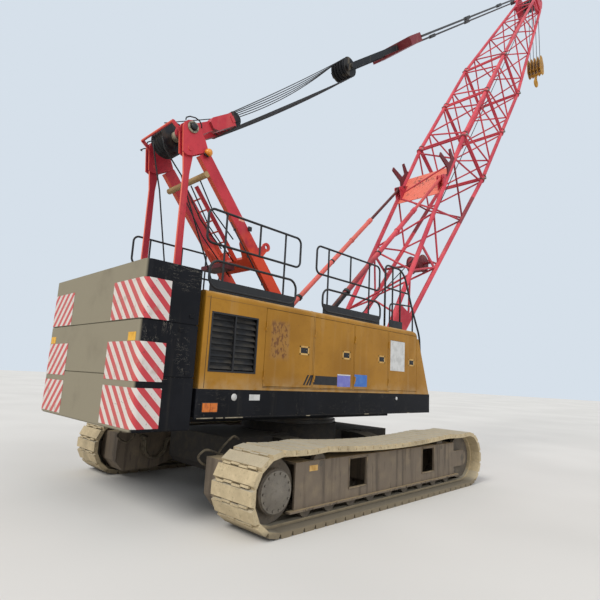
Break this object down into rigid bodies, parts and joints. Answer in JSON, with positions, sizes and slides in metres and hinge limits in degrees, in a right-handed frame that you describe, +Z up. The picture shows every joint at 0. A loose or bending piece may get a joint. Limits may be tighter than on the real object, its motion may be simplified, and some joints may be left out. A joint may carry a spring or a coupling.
{
  "type": "crawler crane",
  "caption": "Tracked crane with a slewing house, rear gantry, stacked counterweight and a luffing lattice boom with its hook block.",
  "frame": {"origin": "on the ground, under the slewing axis, midway between the tracks", "axes": "+X forward, where the boom leans; +Y to the left; +Z up"},
  "size_m": [20.8637, 5.26, 21.997],
  "materials": {
    "red_paint": "faded satin paint, chalky on the upper faces",
    "ochre_paint": "satin paint with dust",
    "black_paint": "satin paint with scratches",
    "weight_paint": "satin paint with red and white slanting stripes",
    "track_steel": "steel under dry dust",
    "frame_steel": "painted steel under dry dirt",
    "machine_steel": "oily dark steel",
    "rope_steel": "greased wire rope and forged links",
    "glass": "clear, slightly tinted",
    "seat_cloth": "matt",
    "hose_rubber": "matt, dusty"
  },
  "bodies": {
    "undercarriage": {"car_body": "frame_steel", "slew_ring": "machine_steel", "right_side_frame": "frame_steel", "left_side_frame": "frame_steel", "right_track": "track_steel", "left_track": "track_steel", "right_wheels": "frame_steel", "left_wheels": "frame_steel", "car_body_weights": "frame_steel", "travel_hoses": "hose_rubber"},
    "upperworks": {"turntable": "black_paint", "right_deck": "black_paint", "left_deck": "black_paint", "right_house": "ochre_paint", "left_house": "ochre_paint", "louvres": "black_paint", "engine": "machine_steel", "counterweight_base": "weight_paint", "counterweight_middle": "weight_paint", "counterweight_top": "weight_paint", "winch_drums": "machine_steel", "gantry_front_legs": "red_paint", "gantry_rear_struts": "red_paint", "gantry_sheaves": "rope_steel", "roof_rails": "black_paint", "cab": "ochre_paint", "cab_glass": "glass", "cab_seat": "seat_cloth"},
    "right_door_1": {"right_door_1": "ochre_paint"},
    "right_door_2": {"right_door_2": "ochre_paint"},
    "right_door_3": {"right_door_3": "ochre_paint"},
    "right_door_4": {"right_door_4": "ochre_paint"},
    "left_door_1": {"left_door_1": "ochre_paint"},
    "left_door_2": {"left_door_2": "ochre_paint"},
    "cab_door": {"cab_door": "ochre_paint", "cab_door_glass": "glass"},
    "boom": {"boom_butt": "red_paint", "boom_insert_1": "red_paint", "boom_insert_2": "red_paint", "boom_tip": "red_paint", "boom_sheaves": "machine_steel"},
    "suspension_line": {"lower_spreader": "red_paint"},
    "pendants": {"upper_spreader": "black_paint", "pendants": "rope_steel"},
    "backstop_tubes": {"backstop_tubes": "red_paint"},
    "backstop_rods": {"backstop_rods": "black_paint"},
    "hook": {"hoist_falls": "rope_steel", "hook_block": "machine_steel"}
  },
  "joints": [
    {"name": "slew", "type": "hinge", "parent": "undercarriage", "child": "upperworks", "pos_m": [0, 0, 1.23], "axis": [0, 0, 1], "continuous": true},
    {"name": "boom_luff", "type": "hinge", "parent": "upperworks", "child": "boom", "pos_m": [1.8, 0, 2], "axis": [0, -1, 0], "range_deg": [-24.35, 26]},
    {"name": "right_door_1_hinge", "type": "hinge", "parent": "upperworks", "child": "right_door_1", "pos_m": [-2.18, -1.612, 2.4], "axis": [0, 0, -1], "range_deg": [0, 105]},
    {"name": "right_door_2_hinge", "type": "hinge", "parent": "upperworks", "child": "right_door_2", "pos_m": [-1.06, -1.612, 2.4], "axis": [0, 0, -1], "range_deg": [0, 105]},
    {"name": "right_door_3_hinge", "type": "hinge", "parent": "upperworks", "child": "right_door_3", "pos_m": [0.06, -1.612, 2.4], "axis": [0, 0, -1], "range_deg": [0, 105]},
    {"name": "right_door_4_hinge", "type": "hinge", "parent": "upperworks", "child": "right_door_4", "pos_m": [1.18, -1.612, 2.4], "axis": [0, 0, -1], "range_deg": [0, 105]},
    {"name": "left_door_1_hinge", "type": "hinge", "parent": "upperworks", "child": "left_door_1", "pos_m": [-2.18, 1.612, 2.4], "axis": [0, 0, 1], "range_deg": [0, 105]},
    {"name": "left_door_2_hinge", "type": "hinge", "parent": "upperworks", "child": "left_door_2", "pos_m": [-1.06, 1.612, 2.4], "axis": [0, 0, 1], "range_deg": [0, 105]},
    {"name": "cab_door_hinge", "type": "hinge", "parent": "upperworks", "child": "cab_door", "pos_m": [1.728, 1.885, 2.3], "axis": [0, 0, 1], "range_deg": [0, 100]},
    {"name": "line_pivot", "type": "hinge", "parent": "upperworks", "child": "suspension_line", "pos_m": [-3.21, 0, 5.94], "axis": [0, -1, 0], "range_deg": [-23.3, 24.9]},
    {"name": "pendant_slide", "type": "slide", "parent": "suspension_line", "child": "pendants", "axis": [0.7619, 0, 0.6477], "range_m": [-2.79, 2.61]},
    {"name": "backstop_pivot", "type": "hinge", "parent": "boom", "child": "backstop_rods", "pos_m": [5.03, 0, 7.99], "axis": [0, -1, 0], "range_deg": [-2.8, 2.7]},
    {"name": "backstop_slide", "type": "slide", "parent": "backstop_rods", "child": "backstop_tubes", "axis": [-0.7126, 0, -0.7016], "range_m": [-0.91, 0.85]},
    {"name": "hook_swing", "type": "hinge", "parent": "boom", "child": "hook", "pos_m": [16.0312, 0, 21.63543], "axis": [0, -1, 0], "range_deg": [-26.1, 24.45]}
  ],
  "couplings": [
    {"joint": "line_pivot", "follows": "boom_luff", "ratio": 0.953},
    {"joint": "pendant_slide", "follows": "boom_luff", "m_per_rad": -6.12},
    {"joint": "backstop_pivot", "follows": "boom_luff", "ratio": -0.106},
    {"joint": "backstop_slide", "follows": "boom_luff", "m_per_rad": -1.98},
    {"joint": "hook_swing", "follows": "boom_luff", "ratio": -1}
  ]
}
